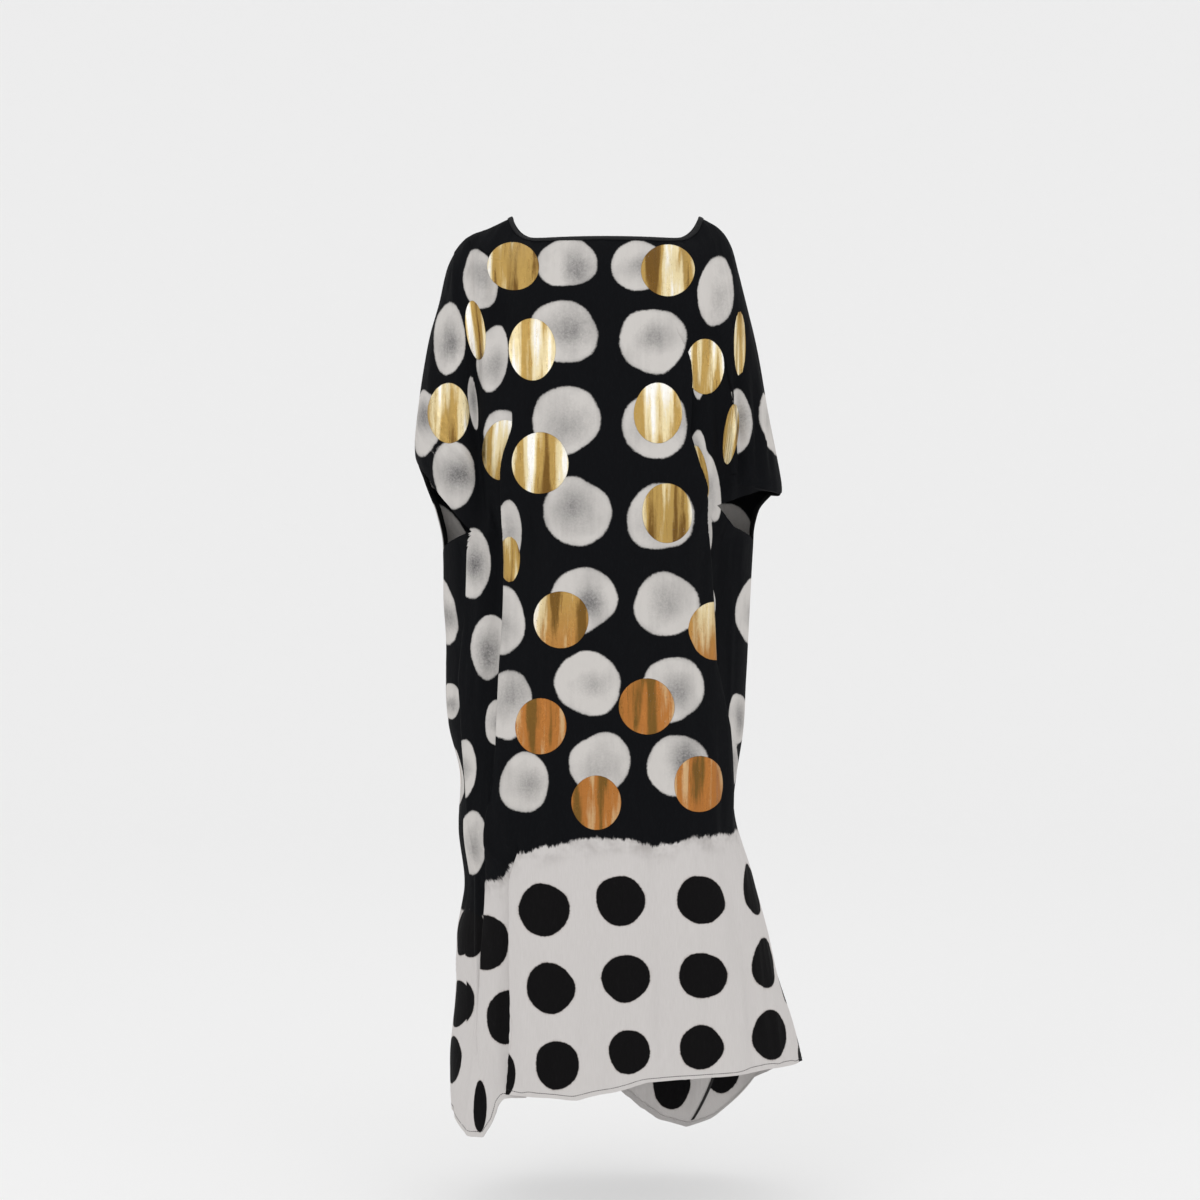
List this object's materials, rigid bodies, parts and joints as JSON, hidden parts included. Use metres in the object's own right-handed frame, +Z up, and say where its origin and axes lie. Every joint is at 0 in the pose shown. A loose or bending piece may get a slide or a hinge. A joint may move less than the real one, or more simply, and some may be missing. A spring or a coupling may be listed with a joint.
{
  "type": "kaftan",
  "caption": "Wide black kaftan with grey resist-dyed and gold foil dots, an off-white black-dotted hem band, a boat neck and elbow-length batwing sleeve ends.",
  "frame": {"origin": "midway between the two neck points, where the neck edge rests on the wearer's shoulders", "axes": "+Z up along the length of the garment, -Y out of its front, +X towards the side on the right seen from the front"},
  "size_m": [0.5865, 0.3427, 1.4189],
  "materials": {
    "crepe": "matte dyed crepe, black above the dip-dye line and off-white below it",
    "binding": "matte black bias binding",
    "hem_turn": "undyed off-white crepe with dark stitching",
    "seam": "overlocked edge in black thread"
  },
  "bodies": {
    "root": {"front_panel": "crepe", "back_panel": "crepe", "neck_binding": "binding", "front_hem_turn": "hem_turn", "back_hem_turn": "hem_turn", "left_cuff_turn_front": "crepe", "right_cuff_turn_front": "crepe", "right_cuff_turn_back": "crepe", "left_cuff_turn_back": "crepe", "right_seam_allowance": "seam"}
  },
  "joints": []
}
